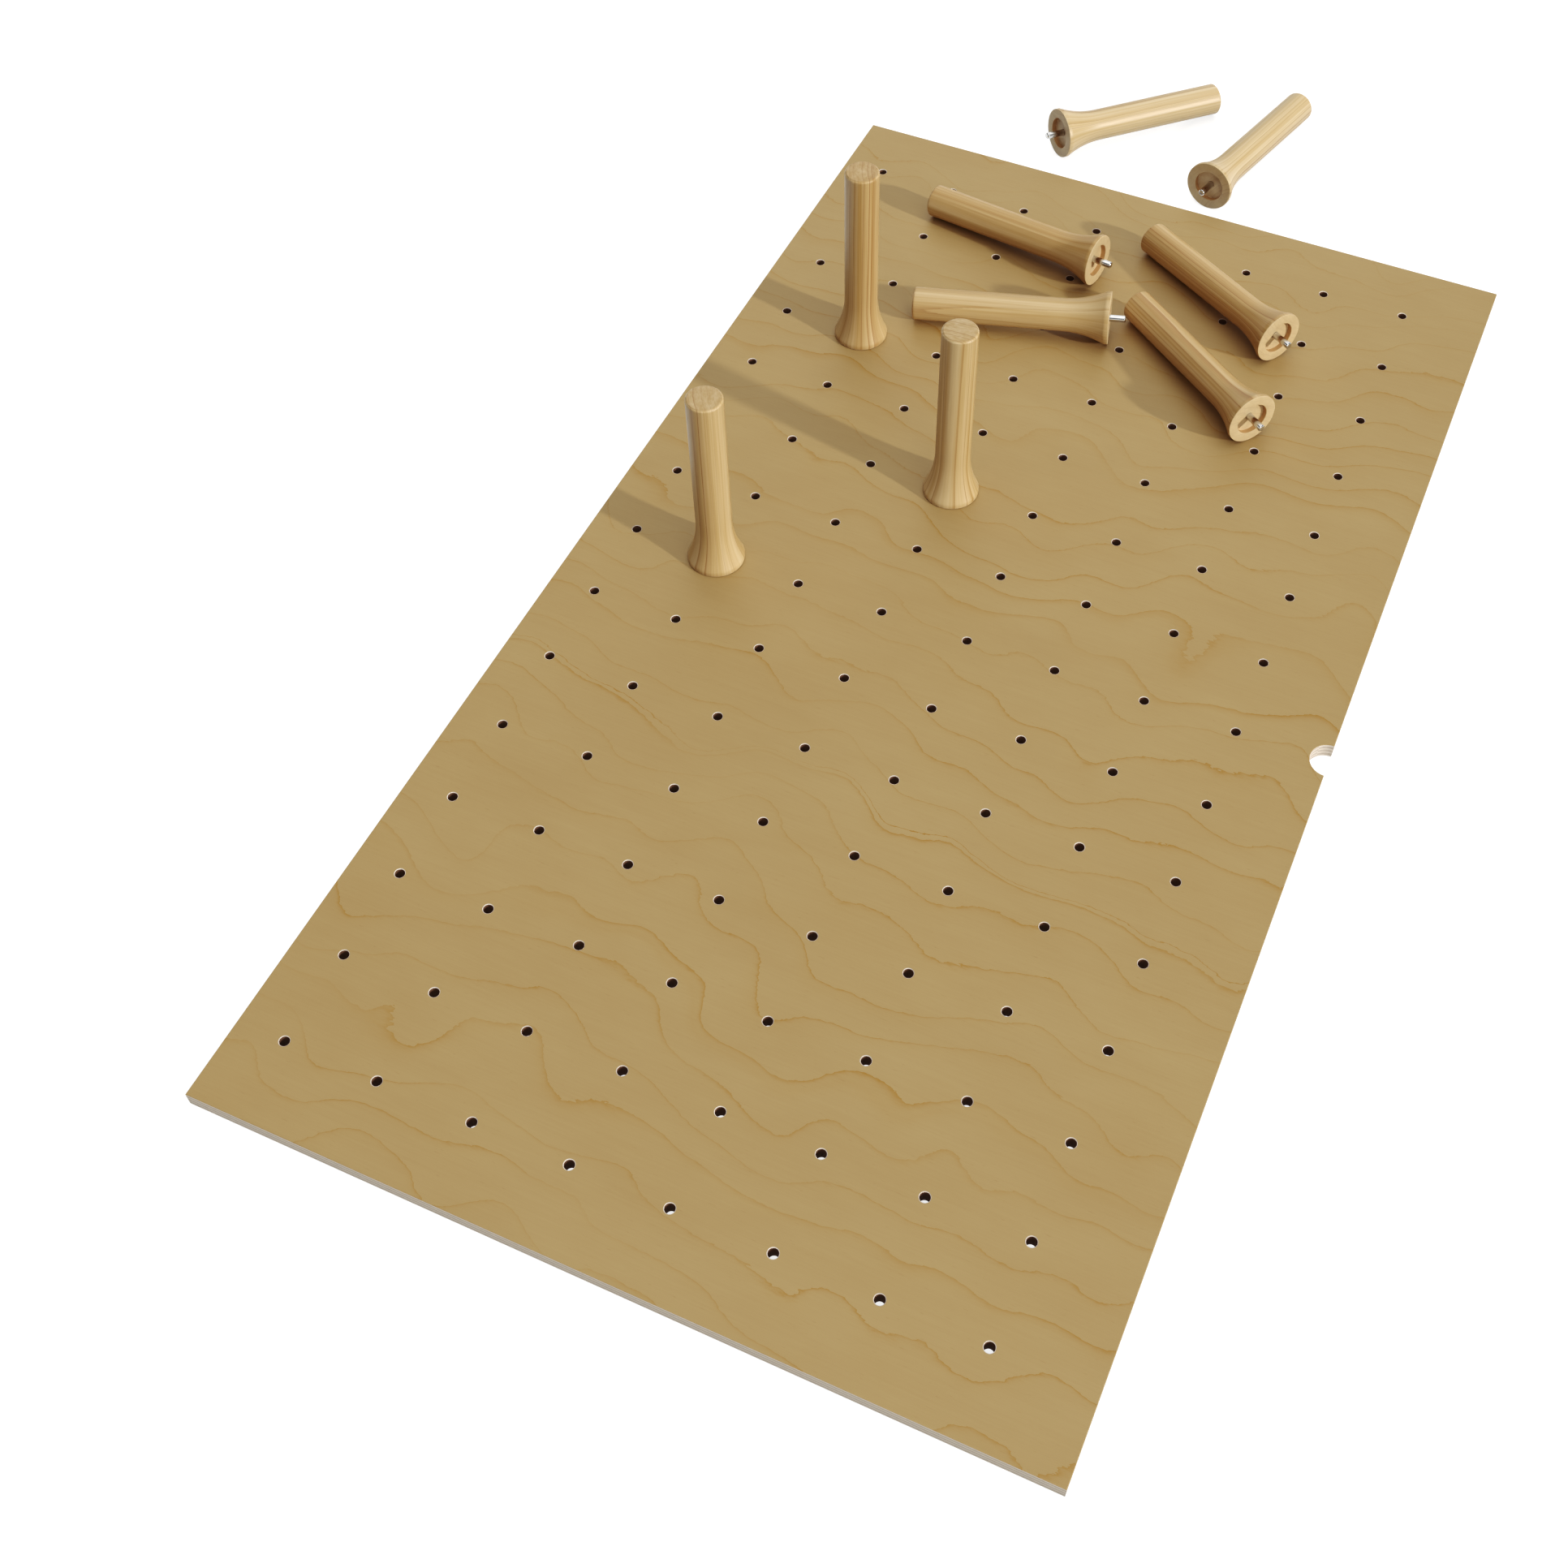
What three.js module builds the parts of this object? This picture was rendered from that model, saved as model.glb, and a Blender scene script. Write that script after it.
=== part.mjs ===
// Drawer peg board: a plywood panel drilled with a square grid of holes, and nine turned wooden
// pegs. A steel pin stands out of each peg's foot and drops into any hole of the grid. Three pegs
// stand in their holes, four lie on the panel, and two lie beside it on the same surface.
// Millimetres, +Z up. X runs across the panel and Y along it. The origin is the centre of the
// panel's underside.
import * as THREE from "three";

// Panel
const PANEL_WIDTH = 540;
const PANEL_LENGTH = 997;
const PANEL_THICKNESS = 12;

// Grid of holes, placed by the margins at the left edge and at the back edge
const COLUMNS = 8;
const ROWS = 15;
const PITCH = 63.5;
const LEFT_MARGIN = 33;
const BACK_MARGIN = 56;
const HOLE_RADIUS = 3.2;
const HOLE_SIDES = 8;

// Half-round finger notch, centred on the right edge's middle
const NOTCH_RADIUS = 12.7;
const NOTCH_SIDES = 12;

// Peg, measured along its axis from the face of its foot
const PEG_LENGTH = 152.4;
const SHAFT_RADIUS = 12.7;
const FOOT_RADIUS = 20.2;
const RIM_HEIGHT = 3;
const FLARE_END = 37;
const TOP_CHAMFER = 1.2;
const RECESS_RADIUS = 12.6;
const RECESS_DEPTH = 4;
const PEG_SIDES = 24;
const FLARE_STEPS = 6;

// Steel pin, glued into a bore in the floor of the recess
const PIN_RADIUS = 2.65;
const PIN_REACH = 12;
const PIN_GRIP = 24;
const PIN_CHAMFER = 0.6;
const PIN_SIDES = 12;

// Clearance kept between two pieces that touch
const GAP = 0.3;

const BIRCH = { color: 0xb29764, roughness: 0.55, metalness: 0 };
const TURNED_WOOD = { color: 0xd8c08a, roughness: 0.45, metalness: 0 };
const STEEL = { color: 0xc8c8c6, roughness: 0.18, metalness: 1 };

const columnX = (column) => -PANEL_WIDTH / 2 + LEFT_MARGIN + column * PITCH;
const rowY = (row) => PANEL_LENGTH / 2 - BACK_MARGIN - (ROWS - 1 - row) * PITCH;

function mesh(name, geometry, look) {
  const made = new THREE.Mesh(geometry, new THREE.MeshStandardMaterial(look));
  made.name = name;
  return made;
}

// A circle as a closed polygon with its first corner on the +X side.
function roundHole(x, y) {
  const corners = Array.from({ length: HOLE_SIDES }, (_, i) => {
    const turn = (2 * Math.PI * i) / HOLE_SIDES;
    return new THREE.Vector2(x + HOLE_RADIUS * Math.cos(turn), y + HOLE_RADIUS * Math.sin(turn));
  });
  return new THREE.Path(corners);
}

function panelOutline() {
  const right = PANEL_WIDTH / 2;
  const back = PANEL_LENGTH / 2;
  const outline = new THREE.Shape();
  outline.moveTo(-right, -back);
  outline.lineTo(right, -back);
  outline.lineTo(right, -NOTCH_RADIUS);
  outline.absarc(right, 0, NOTCH_RADIUS, -Math.PI / 2, Math.PI / 2, true);
  outline.lineTo(right, back);
  outline.lineTo(-right, back);
  outline.closePath();
  return outline;
}

function panel() {
  const outline = panelOutline();
  for (let row = 0; row < ROWS; row++) {
    for (let column = 0; column < COLUMNS; column++) {
      outline.holes.push(roundHole(columnX(column), rowY(row)));
    }
  }
  const options = { depth: PANEL_THICKNESS, bevelEnabled: false, curveSegments: NOTCH_SIDES };
  return mesh("board", new THREE.ExtrudeGeometry(outline, options), BIRCH);
}

// Turns a profile of [radius, height] points about the Z axis.
function turned(profile, sides) {
  const points = profile.map(([radius, height]) => new THREE.Vector2(radius, height));
  return new THREE.LatheGeometry(points, sides).rotateX(Math.PI / 2);
}

// The hollow flare: an arc tangent to the shaft at FLARE_END, reaching the foot's radius at the rim.
function flareProfile() {
  const run = FLARE_END - RIM_HEIGHT;
  const rise = FOOT_RADIUS - SHAFT_RADIUS;
  const arcRadius = (run * run + rise * rise) / (2 * rise);
  return Array.from({ length: FLARE_STEPS + 1 }, (_, i) => {
    const fall = run * (1 - i / FLARE_STEPS);
    return [SHAFT_RADIUS + arcRadius - Math.sqrt(arcRadius ** 2 - fall ** 2), FLARE_END - fall];
  });
}

function postGeometry() {
  const boreRadius = PIN_RADIUS + GAP;
  const boreEnd = RECESS_DEPTH + PIN_GRIP + GAP;
  return turned(
    [
      [0, boreEnd],
      [boreRadius, boreEnd],
      [boreRadius, RECESS_DEPTH],
      [RECESS_RADIUS, RECESS_DEPTH],
      [RECESS_RADIUS, 0],
      [FOOT_RADIUS, 0],
      ...flareProfile(),
      [SHAFT_RADIUS, PEG_LENGTH - TOP_CHAMFER],
      [SHAFT_RADIUS - TOP_CHAMFER, PEG_LENGTH],
      [0, PEG_LENGTH],
    ],
    PEG_SIDES,
  );
}

function pinGeometry() {
  const top = RECESS_DEPTH + PIN_GRIP;
  return turned(
    [
      [0, -PIN_REACH],
      [PIN_RADIUS - PIN_CHAMFER, -PIN_REACH],
      [PIN_RADIUS, PIN_CHAMFER - PIN_REACH],
      [PIN_RADIUS, top],
      [0, top],
    ],
    PIN_SIDES,
  );
}

// A peg in its own frame: the foot's face at z = 0, the post above it and the pin's tip below.
function peg(place) {
  const made = new THREE.Group();
  made.add(mesh(`post_${place}`, postGeometry(), TURNED_WOOD));
  made.add(mesh(`pin_${place}`, pinGeometry(), STEEL));
  return made;
}

function standingPeg(number, column, row) {
  const made = peg(`standing_${number}`);
  made.position.set(columnX(column), rowY(row), PANEL_THICKNESS + GAP);
  return made;
}

// A lying peg rests on the top of its rim and on the shaft's far end, so its shaft slopes down
// away from the foot. heading is the direction from the foot to the far end, in degrees from +X.
function lyingPeg(place, { x, y, heading }, surface) {
  const slope = Math.atan2(FOOT_RADIUS - SHAFT_RADIUS, PEG_LENGTH - TOP_CHAMFER - RIM_HEIGHT);
  const footHeight = FOOT_RADIUS * Math.cos(slope) + RIM_HEIGHT * Math.sin(slope);
  const made = peg(place);
  made.position.set(x, y, surface + footHeight + GAP);
  made.rotation.set(0, Math.PI / 2 + slope, THREE.MathUtils.degToRad(heading), "ZYX");
  return made;
}

// Holes that the standing pegs are in
const STANDING = [
  { column: 1, row: 7 },
  { column: 3, row: 9 },
  { column: 1, row: 11 },
];

// Centres of the feet of the pegs that lie down
const ON_BOARD = [
  { x: 4, y: 324, heading: -166 },
  { x: -27, y: 384, heading: 170 },
  { x: 136, y: 262, heading: 142 },
  { x: 129, y: 355, heading: 147 },
];
const BESIDE_BOARD = [
  { x: -116, y: 541, heading: 47 },
  { x: 22, y: 524, heading: 76 },
];

const pegBoard = new THREE.Group();
pegBoard.add(panel());
STANDING.forEach(({ column, row }, i) => pegBoard.add(standingPeg(i + 1, column, row)));
ON_BOARD.forEach((lie, i) => pegBoard.add(lyingPeg(`on_board_${i + 1}`, lie, PANEL_THICKNESS)));
BESIDE_BOARD.forEach((lie, i) => pegBoard.add(lyingPeg(`loose_${i + 1}`, lie, 0)));

export default pegBoard;
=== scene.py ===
"""Drawer peg board: a birch plywood panel with a square grid of holes and nine turned pegs.

Lengths are metres, in the frame of the CAD model. Each peg is a wooden post and a steel pin.
"""
import math
import random

import bmesh
import bpy
from mathutils import Matrix, Vector


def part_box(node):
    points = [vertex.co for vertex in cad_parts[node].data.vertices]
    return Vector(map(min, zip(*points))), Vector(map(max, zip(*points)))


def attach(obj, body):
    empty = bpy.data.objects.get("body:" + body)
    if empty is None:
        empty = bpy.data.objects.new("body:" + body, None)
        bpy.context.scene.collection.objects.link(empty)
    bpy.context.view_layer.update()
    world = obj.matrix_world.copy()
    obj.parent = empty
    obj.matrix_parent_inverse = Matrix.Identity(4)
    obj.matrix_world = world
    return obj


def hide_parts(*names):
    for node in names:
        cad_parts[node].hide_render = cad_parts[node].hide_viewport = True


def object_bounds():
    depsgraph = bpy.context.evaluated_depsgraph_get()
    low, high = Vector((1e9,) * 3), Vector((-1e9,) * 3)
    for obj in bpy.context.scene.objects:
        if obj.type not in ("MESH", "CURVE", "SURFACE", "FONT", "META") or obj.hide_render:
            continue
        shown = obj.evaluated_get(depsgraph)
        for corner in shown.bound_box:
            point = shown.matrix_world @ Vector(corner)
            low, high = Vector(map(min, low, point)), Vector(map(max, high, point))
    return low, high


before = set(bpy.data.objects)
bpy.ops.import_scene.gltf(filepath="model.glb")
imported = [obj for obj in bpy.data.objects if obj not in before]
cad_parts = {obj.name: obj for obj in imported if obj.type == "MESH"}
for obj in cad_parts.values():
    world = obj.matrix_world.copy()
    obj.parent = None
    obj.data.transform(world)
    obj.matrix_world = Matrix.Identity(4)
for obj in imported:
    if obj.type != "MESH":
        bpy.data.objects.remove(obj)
cad_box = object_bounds()

MM = 0.001

# Panel, with a square grid of holes laid out from its left and back edges
COLUMNS = 8
ROWS = 15
PITCH = 63.5 * MM
LEFT_MARGIN = 33 * MM
BACK_MARGIN = 56 * MM
HOLE_RADIUS = 3.2 * MM
HOLE_SIDES = 40
NOTCH_RADIUS = 12.7 * MM
NOTCH_SIDES = 32
PANEL_EASE = 0.5 * MM
PLIES = 7
MERGE_DISTANCE = 0.01 * MM

# Peg, measured along its axis from the face of its foot
PEG_LENGTH = 152.4 * MM
SHAFT_RADIUS = 12.7 * MM
FOOT_RADIUS = 20.2 * MM
RIM_HEIGHT = 3 * MM
FLARE_END = 37 * MM
TOP_CHAMFER = 1.2 * MM
RECESS_RADIUS = 12.6 * MM
RECESS_DEPTH = 4 * MM
BORE_RADIUS = 2.7 * MM
BORE_SPARE = 0.3 * MM
POST_EASE = 0.35 * MM
POST_SIDES = 128
FLARE_STEPS = 24
EASE_STEPS = 3

# The wood is bare within this distance of the peg's axis and of its foot, which takes in the recess;
# it is painted paler there, partly as bare wood and partly as painted light
BARE_RADIUS = RECESS_RADIUS + 0.05 * MM
BARE_DEPTH = RECESS_DEPTH + 0.5 * MM

# Steel pin
PIN_RADIUS = 2.65 * MM
PIN_REACH = 12 * MM
PIN_GRIP = 24 * MM
PIN_CHAMFER = 0.6 * MM
PIN_EASE = 0.15 * MM
PIN_SIDES = 64

WOOD_SEED = 11

# Each peg: the bodies of its post and its pin, the turn of its grain about its axis in degrees,
# and its wood from the palest (0) to the brownest (1)
PEGS = {
    "standing_1": ("standing_post_1", "standing_pin_1", 33, 0.2),
    "standing_2": ("standing_post_2", "standing_pin_2", 273, 0.2),
    "standing_3": ("standing_post_3", "standing_pin_3", 25, 0.5),
    "on_board_1": ("peg_on_board_1", "peg_on_board_1", 20, 0.4),
    "on_board_2": ("peg_on_board_2", "peg_on_board_2", 200, 0.9),
    "on_board_3": ("peg_on_board_3", "peg_on_board_3", 110, 0.8),
    "on_board_4": ("peg_on_board_4", "peg_on_board_4", 310, 1.0),
    "loose_1": ("peg_loose_1", "peg_loose_1", 250, 0.0),
    "loose_2": ("peg_loose_2", "peg_loose_2", 35, 0.0),
}

# Faces that meet at less than this angle are shaded as one surface
SMOOTH_ANGLE = math.radians(28)

# The board's materials in order, and how far up a face's normal points where they change
VENEER, EDGE, BORE = range(3)
FLAT = 0.999
UPPER_EASE = 0.3
LOWER_EASE = 0.1

FLOOR_GAP = 0.2 * MM
FLOOR_REACH = 12

# Display curves: light in the scene and the light that the picture shows for it
TONE_POINTS = [(0.06, 0.030), (0.15, 0.105), (0.30, 0.270), (0.46, 0.450)]
GREEN_POINTS = [(0.10, 0.088), (0.22, 0.220)]
BLUE_POINTS = [(0.05, 0.042), (0.14, 0.140)]


# ---- shader nodes ----

def linear(red, green, blue):
    """A colour given as 0-255 display values, as the linear RGBA that Blender's sockets hold."""
    def channel(value):
        share = value / 255
        return share / 12.92 if share <= 0.04045 else ((share + 0.055) / 1.055) ** 2.4
    return (channel(red), channel(green), channel(blue), 1.0)


class Shader:
    """A material with one Principled shader, and short calls for the nodes that drive it."""

    def __init__(self, name):
        self.material = bpy.data.materials.new(name)
        self.material.use_nodes = True
        self.tree = self.material.node_tree
        self.principled = self.tree.nodes["Principled BSDF"]

    def feed(self, socket, value):
        """Link the socket to another node's output, or set it to a plain value."""
        if isinstance(value, bpy.types.NodeSocket):
            self.tree.links.new(value, socket)
        else:
            socket.default_value = value

    def place(self, within=Matrix()):
        """The point in metres, in the frame that within sets in the row frame."""
        node = self.tree.nodes.new("ShaderNodeMapping")
        node.vector_type = "TEXTURE"
        node.inputs["Location"].default_value = within.to_translation()
        node.inputs["Rotation"].default_value = within.to_euler()
        self.feed(node.inputs["Vector"], self.tree.nodes.new("ShaderNodeTexCoord").outputs["Object"])
        return node.outputs[0]

    def maths(self, operation, *values):
        node = self.tree.nodes.new("ShaderNodeMath")
        node.operation = operation
        for socket, value in zip(node.inputs, values):
            self.feed(socket, value)
        return node.outputs[0]

    def plus(self, base, extra, factor):
        """base with extra added to it, the given number of times."""
        return self.maths("MULTIPLY_ADD", extra, factor, base)

    def vector(self, operation, *values):
        node = self.tree.nodes.new("ShaderNodeVectorMath")
        node.operation = operation
        for socket, value in zip(node.inputs, values):
            self.feed(socket, value)
        return node.outputs[0]

    def split(self, vector):
        node = self.tree.nodes.new("ShaderNodeSeparateXYZ")
        self.feed(node.inputs[0], vector)
        return node.outputs

    def noise(self, place, scale, detail=2.0, roughness=0.5, drift=(0, 0, 0)):
        """Smooth noise about 0, mostly within -0.5 and 0.5, with a scale for each axis."""
        node = self.tree.nodes.new("ShaderNodeTexNoise")
        self.feed(node.inputs["Vector"], self.vector("MULTIPLY_ADD", place, scale, drift))
        node.inputs["Scale"].default_value = 1.0
        node.inputs["Detail"].default_value = detail
        node.inputs["Roughness"].default_value = roughness
        return self.maths("SUBTRACT", node.outputs["Fac"], 0.5)

    def noise_along(self, value, scale):
        """Smooth noise about 0 that depends on one number."""
        node = self.tree.nodes.new("ShaderNodeTexNoise")
        node.noise_dimensions = "1D"
        self.feed(node.inputs["W"], value)
        node.inputs["Scale"].default_value = scale
        return self.maths("SUBTRACT", node.outputs["Fac"], 0.5)

    def span(self, value, low, high, to_low=0.0, to_high=1.0):
        """value carried smoothly from low..high to to_low..to_high, and held outside them."""
        node = self.tree.nodes.new("ShaderNodeMapRange")
        node.interpolation_type = "SMOOTHSTEP"
        for socket, number in zip(node.inputs, (value, low, high, to_low, to_high)):
            self.feed(socket, number)
        return node.outputs[0]

    def mix(self, share, first, second):
        node = self.tree.nodes.new("ShaderNodeMix")
        node.data_type = "RGBA"
        self.feed(node.inputs[0], share)
        self.feed(node.inputs[6], first)
        self.feed(node.inputs[7], second)
        return node.outputs[2]

    def length(self, x, y):
        """How far the point x, y is from the origin."""
        return self.maths("SQRT", self.maths("MULTIPLY_ADD", x, x, self.maths("MULTIPLY", y, y)))

    def along_surface(self, place):
        """place with the peg's flare drawn in to the shaft's radius, so that its grain fans out."""
        x, y, z = self.split(place)
        reach = self.maths("MAXIMUM", self.length(x, y), SHAFT_RADIUS)
        drawn_in = self.maths("DIVIDE", SHAFT_RADIUS, reach)
        on_side = self.span(z, 0.1 * MM, 0.4 * MM)
        factor = self.maths("ADD", 1.0, self.maths(
            "MULTIPLY", on_side, self.maths("SUBTRACT", drawn_in, 1.0)))
        node = self.tree.nodes.new("ShaderNodeCombineXYZ")
        self.feed(node.inputs[0], self.maths("MULTIPLY", x, factor))
        self.feed(node.inputs[1], self.maths("MULTIPLY", y, factor))
        self.feed(node.inputs[2], z)
        return node.outputs[0]

    def bump(self, height, depth):
        """Relief of the given depth in metres where height goes from 0 to 1."""
        node = self.tree.nodes.new("ShaderNodeBump")
        node.inputs["Distance"].default_value = depth
        self.feed(node.inputs["Height"], height)
        self.set(Normal=node.outputs["Normal"])

    def set(self, **values):
        """Principled inputs by name, with _ for a space."""
        for name, value in values.items():
            self.feed(self.principled.inputs[name.replace("_", " ")], value)


def grain_lines(shader, rings, sharpness, softness):
    """0 to 1 at each growth line: a sharp line at the end of every ring and a softer lead into it."""
    phase = shader.maths("FRACT", rings)
    line = shader.maths("POWER", phase, sharpness)
    lead = shader.maths("POWER", phase, softness)
    return line, lead


# ---- materials ----

def birch_veneer():
    """Rotary-cut face veneer: wavy growth lines across the panel, faint mottling, fine fibres."""
    shader = Shader("birch_veneer")
    place = shader.place()

    swell = shader.noise(place, (3.0, 1.6, 40), detail=1.0)
    ripple = shader.noise(place, (11, 10, 40), detail=1.0)
    fray = shader.noise(place, (150, 420, 40))
    height = shader.maths("MULTIPLY", shader.split(place)[1], 32.0)
    height = shader.plus(height, swell, 4.5)
    height = shader.plus(height, ripple, 3.6)
    height = shader.plus(height, fray, 0.11)
    rings = shader.maths("ADD", height, shader.noise_along(height, 0.9))
    line, lead = grain_lines(shader, rings, 30.0, 3.0)

    fade = shader.noise(place, (7, 12, 40))
    strength = shader.span(fade, -0.22, 0.2, 0.15, 0.85)
    dark = shader.maths("MULTIPLY", strength, shader.plus(line, lead, 0.12))

    mottle = shader.noise(place, (9, 22, 40), detail=3.0, roughness=0.6)
    fibres = shader.noise(place, (28, 900, 40), detail=3.0, roughness=0.6)
    flecks = shader.noise(place, (160, 1500, 40), detail=1.0)

    tone = shader.plus(0.5, mottle, 0.9)
    tone = shader.plus(tone, fibres, 0.55)
    colour = shader.mix(tone, linear(168, 142, 98), linear(178, 155, 113))
    colour = shader.mix(dark, colour, linear(162, 124, 54))
    colour = shader.mix(shader.span(flecks, 0.2, 0.34, 0.0, 0.3), colour, linear(150, 118, 72))

    shader.set(Base_Color=colour, Roughness=shader.plus(0.5, fibres, 0.12))
    shader.bump(shader.maths("ADD", fibres, flecks), 0.03 * MM)
    return shader.material


def ply_edge():
    """Cut edge of the plywood: plies with and across the grain in turn, and thin glue lines."""
    shader = Shader("ply_edge")
    place = shader.place()
    facing = shader.tree.nodes.new("ShaderNodeTexCoord").outputs["Normal"]
    facing_x = shader.maths("ABSOLUTE", shader.split(facing)[0])

    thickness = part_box("board")[1].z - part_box("board")[0].z
    waver = shader.noise(place, (18, 18, 300))
    level = shader.maths("MULTIPLY", shader.split(place)[2], PLIES / thickness)
    level = shader.plus(level, waver, 0.12)
    across = shader.maths("MODULO", shader.maths("FLOOR", level), 2.0)
    on_side = shader.maths("GREATER_THAN", facing_x, 0.7)
    end_grain = shader.maths("ABSOLUTE", shader.maths("SUBTRACT", across, on_side))

    in_ply = shader.maths("FRACT", level)
    from_middle = shader.maths("ABSOLUTE", shader.maths("SUBTRACT", in_ply, 0.5))
    glue = shader.span(from_middle, 0.42, 0.5, 0.0, 0.7)

    streaks = shader.noise(place, (30, 30, 2600), detail=3.0, roughness=0.6)
    pores = shader.noise(place, (1400, 1400, 1700))
    long_tone = shader.plus(0.5, streaks, 1.2)
    end_tone = shader.plus(0.4, pores, 1.6)
    long_colour = shader.mix(long_tone, linear(228, 216, 200), linear(246, 236, 222))
    end_colour = shader.mix(end_tone, linear(204, 188, 170), linear(230, 216, 200))
    colour = shader.mix(end_grain, long_colour, end_colour)
    colour = shader.mix(glue, colour, linear(160, 142, 126))

    shader.set(Base_Color=colour, Roughness=shader.plus(0.68, pores, 0.2))
    relief = shader.maths("MULTIPLY", pores, shader.plus(0.2, end_grain, 0.8))
    shader.bump(shader.plus(relief, glue, -0.6), 0.12 * MM)
    return shader.material


def bore_wall_painted_dark():
    """Wall of a drilled hole, painted dark as shade inside the hole."""
    shader = Shader("bore_wall_painted_dark")
    torn = shader.noise(shader.place(), (900, 900, 2200), detail=3.0, roughness=0.6)
    tone = shader.plus(0.5, torn, 1.2)
    # Dark colours: painted shade for the inside of the hole
    colour = shader.mix(tone, linear(96, 74, 58), linear(140, 112, 88))
    shader.set(Base_Color=colour, Roughness=shader.plus(0.8, torn, 0.3))
    shader.bump(torn, 0.1 * MM)
    return shader.material


def between(first, second, share):
    """The colour that lies the given share of the way from the first to the second."""
    return tuple(a + (b - a) * share for a, b in zip(first, second))


def cut_faces(shader, place, colour):
    """The post's colour with its foot and recess paler, as bare wood and partly as painted light, the
    end grain on top darker, and painted shade on the recess wall.
    """
    x, y, z = shader.split(place)
    from_axis = shader.length(x, y)
    on_foot = shader.span(z, 0.2 * MM, 0.6 * MM, 1.0, 0.0)
    above_foot = shader.span(z, 0.2 * MM, 0.6 * MM)
    in_recess = shader.maths("MULTIPLY", shader.maths("LESS_THAN", from_axis, BARE_RADIUS),
                             shader.maths("LESS_THAN", z, BARE_DEPTH))
    bare_and_painted_light = shader.maths("MAXIMUM", in_recess, on_foot)
    # Paler foot face and recess: bare wood, and partly painted light standing in for the key light on
    # the feet
    colour = shader.mix(shader.maths("MULTIPLY", bare_and_painted_light, 0.65), colour, linear(222, 202, 166))
    top = shader.span(z, PEG_LENGTH - 0.5 * MM, PEG_LENGTH - 0.2 * MM)
    colour = shader.mix(shader.maths("MULTIPLY", top, 0.35), colour, linear(150, 118, 74))
    # Painted shade: the recess wall is tinted darker, as if shaded by the recess around it
    near_wall = shader.span(from_axis, 0.985 * RECESS_RADIUS, RECESS_RADIUS)
    recess_wall_shade = shader.maths("MULTIPLY", near_wall, above_foot)
    return shader.mix(shader.maths("MULTIPLY", recess_wall_shade, in_recess), colour, linear(196, 160, 116))


def turned_wood(peg, frame_of_peg, turn, brown, chance):
    """Satin-finished wood of one post: growth rings round a pith well outside the post."""
    shader = Shader("wood_" + peg)
    place = shader.place(frame_of_peg @ Matrix.Rotation(turn, 4, "Z"))
    grain = shader.along_surface(place)
    drift = [chance.uniform(-9, 9) for axis in range(3)]
    pith = (chance.uniform(0.05, 0.085), 0.0, 0.0)
    spacing = chance.uniform(0.0036, 0.0050)
    lean = chance.uniform(-0.012, 0.012)

    def streaks(*scale, detail=2.0):
        """Noise drawn out along the grain, scaled across the rings, along them and up the post."""
        return shader.noise(grain, scale, detail, drift=drift)

    ring_x, ring_y, ring_z = shader.split(shader.vector("ADD", grain, pith))
    ring_x = shader.plus(ring_x, ring_z, lean)
    rings = shader.maths("MULTIPLY", shader.length(ring_x, ring_y), 1 / spacing)
    rings = shader.plus(rings, streaks(40, 40, 4), 0.6)
    rings = shader.plus(rings, streaks(900, 900, 20), 0.08)
    rings = shader.plus(rings, shader.noise_along(rings, 0.6), 2.2)
    line, lead = grain_lines(shader, rings, 10.0, 2.0)
    whole = shader.maths("FLOOR", rings)
    depth = shader.span(shader.noise_along(whole, 1.7), -0.15, 0.25, 0.2, 1.0)
    fibres = streaks(1600, 900, 26, detail=3.0)

    tone = shader.plus(0.5, streaks(220, 110, 2), 1.2)
    tone = shader.plus(tone, streaks(700, 300, 3), 1.1)
    tone = shader.plus(tone, fibres, 0.5)
    deeper = between(linear(194, 164, 114), linear(174, 136, 80), brown)
    lighter = between(linear(224, 205, 170), linear(212, 185, 140), brown)
    colour = shader.mix(tone, deeper, lighter)
    shade = shader.maths("MULTIPLY", shader.plus(line, lead, 0.28), depth)
    colour = shader.mix(shader.maths("MULTIPLY", shade, 0.9), colour, linear(148, 98, 46))

    shader.set(
        Base_Color=cut_faces(shader, place, colour),
        Roughness=shader.plus(0.42, fibres, 0.15),
        Coat_Weight=0.1,
        Coat_Roughness=0.35,
    )
    shader.bump(shader.plus(fibres, line, -0.3), 0.04 * MM)
    return shader.material


def polished_steel(peg, frame_of_peg):
    """Bright turned steel, with fine rings left round it by the lathe."""
    shader = Shader("steel_" + peg)
    place = shader.place(frame_of_peg)
    rings = shader.noise(place, (60, 60, 9000))
    smears = shader.noise(place, (500, 500, 120), detail=3.0)
    tone = shader.plus(0.5, smears, 0.8)
    shader.set(
        Base_Color=shader.mix(tone, linear(190, 190, 192), linear(222, 221, 218)),
        Metallic=1.0,
        Roughness=shader.plus(0.14, smears, 0.12),
    )
    shader.bump(rings, 0.01 * MM)
    return shader.material


# ---- shapes ----

def add_object(name, data):
    """A new object in the scene, made of a mesh, curve, light or camera."""
    added = bpy.data.objects.new(name, data)
    bpy.context.scene.collection.objects.link(added)
    return added


def arc(centre_x, centre_y, radius, start, end, steps):
    """Points on an arc between two angles in radians, both ends included."""
    angles = [start + (end - start) * step / steps for step in range(steps + 1)]
    return [(centre_x + radius * math.cos(a), centre_y + radius * math.sin(a)) for a in angles]


def add_outline(curve, points):
    """A closed straight-sided line of the curve through 2-D points."""
    spline = curve.splines.new("POLY")
    spline.points.add(len(points) - 1)
    for point, (x, y) in zip(spline.points, points):
        point.co = (x, y, 0, 1)
    spline.use_cyclic_u = True


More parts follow.
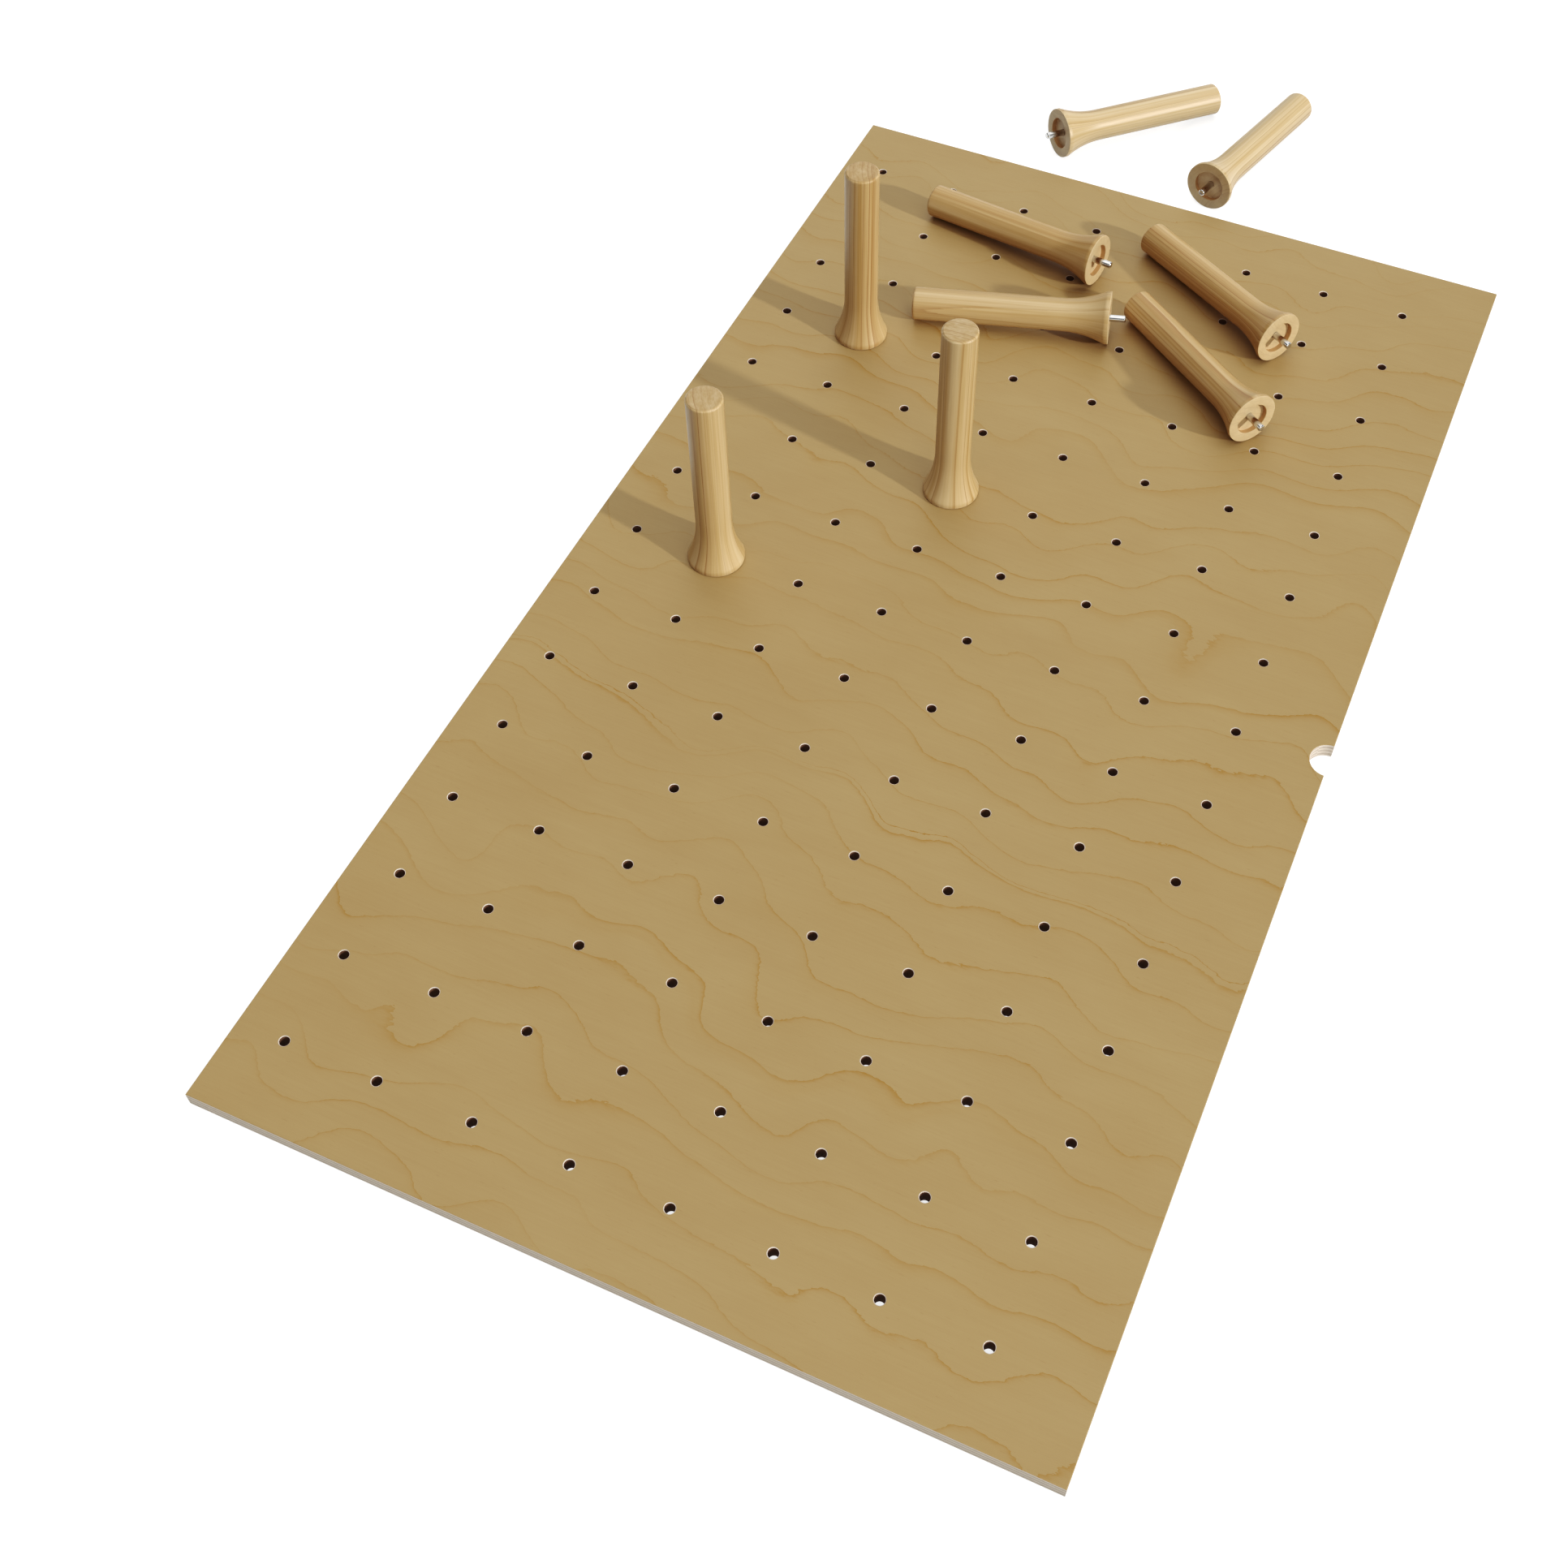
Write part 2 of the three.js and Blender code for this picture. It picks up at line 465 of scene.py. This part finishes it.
def board_outline(low, high):
    """The panel's outline, anticlockwise, drawn inside its eased edges."""
    left, front = low.x + PANEL_EASE, low.y + PANEL_EASE
    right, back = high.x - PANEL_EASE, high.y - PANEL_EASE
    middle = (low.y + high.y) / 2
    radius = NOTCH_RADIUS + PANEL_EASE
    tip = math.acos(-PANEL_EASE / radius)
    notch = arc(high.x, middle, radius, -tip, tip - 2 * math.pi, NOTCH_SIDES)
    return [(left, front), (right, front), *notch, (right, back), (left, back)]


def hole_centres(low, high):
    """The middle of each hole, row by row from the back and from left to right."""
    columns = [low.x + LEFT_MARGIN + column * PITCH for column in range(COLUMNS)]
    rows = [high.y - BACK_MARGIN - row * PITCH for row in range(ROWS)]
    return [(x, y) for y in rows for x in columns]


def in_hole(point, low, high):
    """True if a point on the panel's walls is away from its outline, and so in a hole."""
    inset = LEFT_MARGIN / 2
    return (low.x + inset < point.x < high.x - inset
            and low.y + inset < point.y < high.y - inset)


def board_mesh(low, high):
    """The panel that fills the box, with its notch and holes, and every edge eased."""
    curve = bpy.data.curves.new("board_outline", "CURVE")
    curve.dimensions = "2D"
    curve.fill_mode = "BOTH"
    curve.extrude = (high.z - low.z) / 2 - PANEL_EASE
    curve.bevel_depth = PANEL_EASE
    curve.bevel_resolution = 2
    add_outline(curve, board_outline(low, high))
    for x, y in hole_centres(low, high):
        add_outline(curve, arc(x, y, HOLE_RADIUS + PANEL_EASE, 0, -2 * math.pi, HOLE_SIDES)[:-1])
    drawn = add_object("board_outline", curve)
    bpy.context.view_layer.update()
    mesh = bpy.data.meshes.new_from_object(drawn)
    bpy.data.objects.remove(drawn)
    mesh.transform(Matrix.Translation((0, 0, (low.z + high.z) / 2)))

    shape = bmesh.new()
    shape.from_mesh(mesh)
    bmesh.ops.remove_doubles(shape, verts=shape.verts, dist=MERGE_DISTANCE)
    bmesh.ops.recalc_face_normals(shape, faces=shape.faces)
    shape.to_mesh(mesh)
    shape.free()
    return mesh


def board_material(level, drilled):
    """The material of one face, from how far up or down its normal points."""
    if level > (FLAT if drilled else UPPER_EASE):
        return VENEER
    if drilled and level <= LOWER_EASE:
        return BORE
    return EDGE


def build_board(*materials):
    """The plywood panel, with its materials in the order veneer, edge, bore."""
    low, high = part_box("board")
    mesh = board_mesh(low, high)
    for material in materials:
        mesh.materials.append(material)
    mesh.set_sharp_from_angle(angle=SMOOTH_ANGLE)
    for polygon in mesh.polygons:
        level = abs(polygon.normal.z)
        polygon.use_smooth = level < FLAT
        polygon.material_index = board_material(level, in_hole(polygon.center, low, high))
    board = add_object("plywood_board", mesh)
    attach(board, "board")
    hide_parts("board")


def turned_mesh(name, profile, sides):
    """A closed solid turned about Z from (radius, height) points, which start and end on Z."""
    shape = bmesh.new()
    rings = []
    for radius, height in profile:
        count = sides if radius > 0 else 1
        turns = [2 * math.pi * side / sides for side in range(count)]
        rings.append([
            shape.verts.new((radius * math.cos(a), radius * math.sin(a), height)) for a in turns
        ])
    for lower, upper in zip(rings, rings[1:]):
        for side in range(sides):
            following = (side + 1) % sides
            corners = [lower[side % len(lower)], lower[following % len(lower)],
                       upper[following % len(upper)], upper[side % len(upper)]]
            shape.faces.new(dict.fromkeys(corners))
    bmesh.ops.recalc_face_normals(shape, faces=shape.faces)
    for face in shape.faces:
        face.smooth = True
    mesh = bpy.data.meshes.new(name)
    shape.to_mesh(mesh)
    shape.free()
    mesh.set_sharp_from_angle(angle=SMOOTH_ANGLE)
    return mesh


def eased(points, ease):
    """The same line with each inner corner rounded off, within ease and a third of its sides."""
    smooth = [points[0]]
    for before, corner, after in zip(points, points[1:], points[2:]):
        before, corner, after = Vector(before), Vector(corner), Vector(after)
        reach_in = min(ease, (before - corner).length / 3)
        reach_out = min(ease, (after - corner).length / 3)
        entry = corner + (before - corner).normalized() * reach_in
        leave = corner + (after - corner).normalized() * reach_out
        for step in range(EASE_STEPS + 1):
            t = step / EASE_STEPS
            smooth.append(tuple(
                entry * (1 - t) ** 2 + corner * 2 * t * (1 - t) + leave * t ** 2))
    smooth.append(points[-1])
    return smooth


def flare():
    """The flare's (radius, height) points above the rim: an arc that runs into the shaft."""
    rise = FLARE_END - RIM_HEIGHT
    run = FOOT_RADIUS - SHAFT_RADIUS
    bend = (run ** 2 + rise ** 2) / (2 * run)
    start = math.asin(rise / bend)
    return arc(SHAFT_RADIUS + bend, FLARE_END, bend, math.pi + start, math.pi, FLARE_STEPS)


def post_profile():
    """From the bottom of the pin's bore, out of the foot and up to the top of the post."""
    bore_end = RECESS_DEPTH + PIN_GRIP + BORE_SPARE
    shaft_end = PEG_LENGTH - 4 * TOP_CHAMFER
    foot = eased([
        (0, bore_end),
        (BORE_RADIUS, bore_end),
        (BORE_RADIUS, RECESS_DEPTH),
        (RECESS_RADIUS, RECESS_DEPTH),
        (RECESS_RADIUS, 0),
        (FOOT_RADIUS, 0),
        (FOOT_RADIUS, RIM_HEIGHT),
    ], POST_EASE)[:-1]
    top = eased([
        (SHAFT_RADIUS, shaft_end),
        (SHAFT_RADIUS, PEG_LENGTH - TOP_CHAMFER),
        (SHAFT_RADIUS - TOP_CHAMFER, PEG_LENGTH),
        (0, PEG_LENGTH),
    ], POST_EASE)
    return foot + flare() + top


def pin_profile():
    """From the pin's chamfered tip to its end inside the post."""
    top = RECESS_DEPTH + PIN_GRIP
    return eased([
        (0, -PIN_REACH),
        (PIN_RADIUS - PIN_CHAMFER, -PIN_REACH),
        (PIN_RADIUS, PIN_CHAMFER - PIN_REACH),
        (PIN_RADIUS, top - PIN_CHAMFER),
        (PIN_RADIUS - PIN_CHAMFER, top),
        (0, top),
    ], PIN_EASE)


# ---- pegs ----

def axis_point(node):
    """The middle of a turned CAD solid's corners, which is on its axis."""
    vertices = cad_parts[node].data.vertices
    corners = {tuple(round(number, 6) for number in vertex.co) for vertex in vertices}
    return sum((Vector(corner) for corner in corners), Vector()) / len(corners)


def peg_frame(peg):
    """The peg's own frame: its origin in the face of the foot, and Z along the peg."""
    pin = axis_point("pin_" + peg)
    axis = (axis_point("post_" + peg) - pin).normalized()
    post_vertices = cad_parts["post_" + peg].data.vertices
    foot = min((vertex.co - pin).dot(axis) for vertex in post_vertices)
    facing = axis.to_track_quat("Z", "Y").to_matrix().to_4x4()
    return Matrix.Translation(pin + axis * foot) @ facing


def add_piece(name, mesh, material, place, body, node):
    """One piece of a peg in its place, which rides its body and stands in for its CAD node."""
    mesh = mesh.copy()
    mesh.name = name
    mesh.transform(place)
    mesh.materials.append(material)
    piece = add_object(name, mesh)
    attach(piece, body)
    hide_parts(node)


def build_pegs():
    chance = random.Random(WOOD_SEED)
    post_mesh = turned_mesh("post", post_profile(), POST_SIDES)
    pin_mesh = turned_mesh("pin", pin_profile(), PIN_SIDES)
    for peg, (post_body, pin_body, turn, brown) in PEGS.items():
        place = peg_frame(peg)
        wood = turned_wood(peg, place, math.radians(turn), brown, chance)
        steel = polished_steel(peg, place)
        add_piece("wood_post_" + peg, post_mesh, wood, place, post_body, "post_" + peg)
        add_piece("steel_pin_" + peg, pin_mesh, steel, place, pin_body, "pin_" + peg)


# ---- studio ----

def add_floor():
    """A plane that is white to the camera and in reflections, and a dull grey to all other light."""
    corners = [(-1, -1), (1, -1), (1, 1), (-1, 1)]
    mesh = bpy.data.meshes.new("floor")
    mesh.from_pydata([(x * FLOOR_REACH, y * FLOOR_REACH, 0) for x, y in corners], [], [(0, 1, 2, 3)])
    shader = Shader("floor_white")
    path = shader.tree.nodes.new("ShaderNodeLightPath").outputs
    seen = shader.maths("MAXIMUM", path["Is Camera Ray"], path["Is Glossy Ray"])
    shader.set(
        Base_Color=(0.4, 0.4, 0.4, 1),
        Roughness=0.9,
        Specular_IOR_Level=0.0,
        Emission_Color=(1, 1, 1, 1),
        Emission_Strength=shader.maths("MULTIPLY", seen, 0.8),
    )
    mesh.materials.append(shader.material)
    floor = add_object("floor", mesh)
    floor.location.z = cad_box[0].z - FLOOR_GAP


def add_sky():
    """Soft light from overhead, with a white horizon in reflections and all white to the camera."""
    world = bpy.data.worlds.new("studio")
    bpy.context.scene.world = world
    world.use_nodes = True
    tree = world.node_tree
    background = tree.nodes["Background"]
    direction = tree.nodes.new("ShaderNodeTexCoord")
    parts = tree.nodes.new("ShaderNodeSeparateXYZ")
    tree.links.new(direction.outputs["Generated"], parts.inputs[0])

    def by_height(low, high, at_low, at_high):
        """A strength that depends on how high a direction points, from 0 level to 1 straight up."""
        node = tree.nodes.new("ShaderNodeMapRange")
        node.interpolation_type = "SMOOTHSTEP"
        for socket, value in zip(node.inputs[1:], (low, high, at_low, at_high)):
            socket.default_value = value
        tree.links.new(parts.outputs[2], node.inputs[0])
        return node.outputs[0]

    def maths(operation, first, second):
        node = tree.nodes.new("ShaderNodeMath")
        node.operation = operation
        tree.links.new(first, node.inputs[0])
        tree.links.new(second, node.inputs[1])
        return node.outputs[0]

    path = tree.nodes.new("ShaderNodeLightPath").outputs
    overhead = by_height(0.6, 1.0, 0.02, 1.7)
    horizon = maths("MULTIPLY", by_height(0.15, 0.45, 1.1, 0.1), path["Is Glossy Ray"])
    pick = tree.nodes.new("ShaderNodeMix")
    tree.links.new(path["Is Camera Ray"], pick.inputs[0])
    tree.links.new(maths("ADD", overhead, horizon), pick.inputs[2])
    pick.inputs[3].default_value = 1.1
    tree.links.new(pick.outputs[0], background.inputs["Strength"])
    background.inputs["Color"].default_value = (1.0, 0.985, 0.96, 1)


def add_key_light():
    """Low light from the right, with nearly sharp shadows."""
    lamp = bpy.data.lights.new("key", "SUN")
    lamp.energy = 2.0
    lamp.angle = math.radians(2.5)
    key = add_object("key", lamp)
    azimuth = math.radians(-10)
    elevation = math.radians(22)
    towards = Vector((
        math.cos(azimuth) * math.cos(elevation),
        math.sin(azimuth) * math.cos(elevation),
        math.sin(elevation),
    ))
    key.rotation_euler = towards.to_track_quat("Z", "Y").to_euler()


def add_panel_light(name, location, width, height, energy):
    """A soft white panel that faces the middle of the board."""
    lamp = bpy.data.lights.new(name, "AREA")
    lamp.shape = "RECTANGLE"
    lamp.size = width
    lamp.size_y = height
    lamp.energy = energy
    panel = add_object(name, lamp)
    panel.location = location
    panel.rotation_euler = Vector(location).to_track_quat("Z", "Y").to_euler()


def add_lights():
    """The key light, sheen from beyond the back edge, and a fill from the right of the camera."""
    add_key_light()
    add_panel_light("back", (-1.2, 3.4, 2.2), width=4, height=2, energy=34)
    add_panel_light("fill", (2.1, -1.9, 1.3), width=2, height=2, energy=20)


def set_display():
    """Plain display colours, with tone curves that deepen and warm the shadows a little."""
    view = bpy.context.scene.view_settings
    view.view_transform = "Standard"
    view.use_curve_mapping = True
    green, blue, combined = view.curve_mapping.curves[1:]
    for curve, points in ((green, GREEN_POINTS), (blue, BLUE_POINTS), (combined, TONE_POINTS)):
        for light, shown in points:
            curve.points.new(light, shown)
    view.curve_mapping.update()


def add_camera():
    """The photo's viewing angle, from the right of the front edge."""
    looking_down = 52.53
    looking_left = 23.94
    lens = bpy.data.cameras.new("camera")
    lens.sensor_width = 36
    lens.lens = 44.48
    lens.shift_x = -0.040
    lens.shift_y = -0.055
    camera = add_object("camera", lens)
    camera.location = (0.281, -0.799, 1.038)
    camera.rotation_euler = (math.radians(90 - looking_down), 0, math.radians(looking_left))
    bpy.context.scene.camera = camera


# ---- the scene ----

set_display()
add_camera()
build_board(birch_veneer(), ply_edge(), bore_wall_painted_dark())
build_pegs()
add_floor()
add_sky()
add_lights()
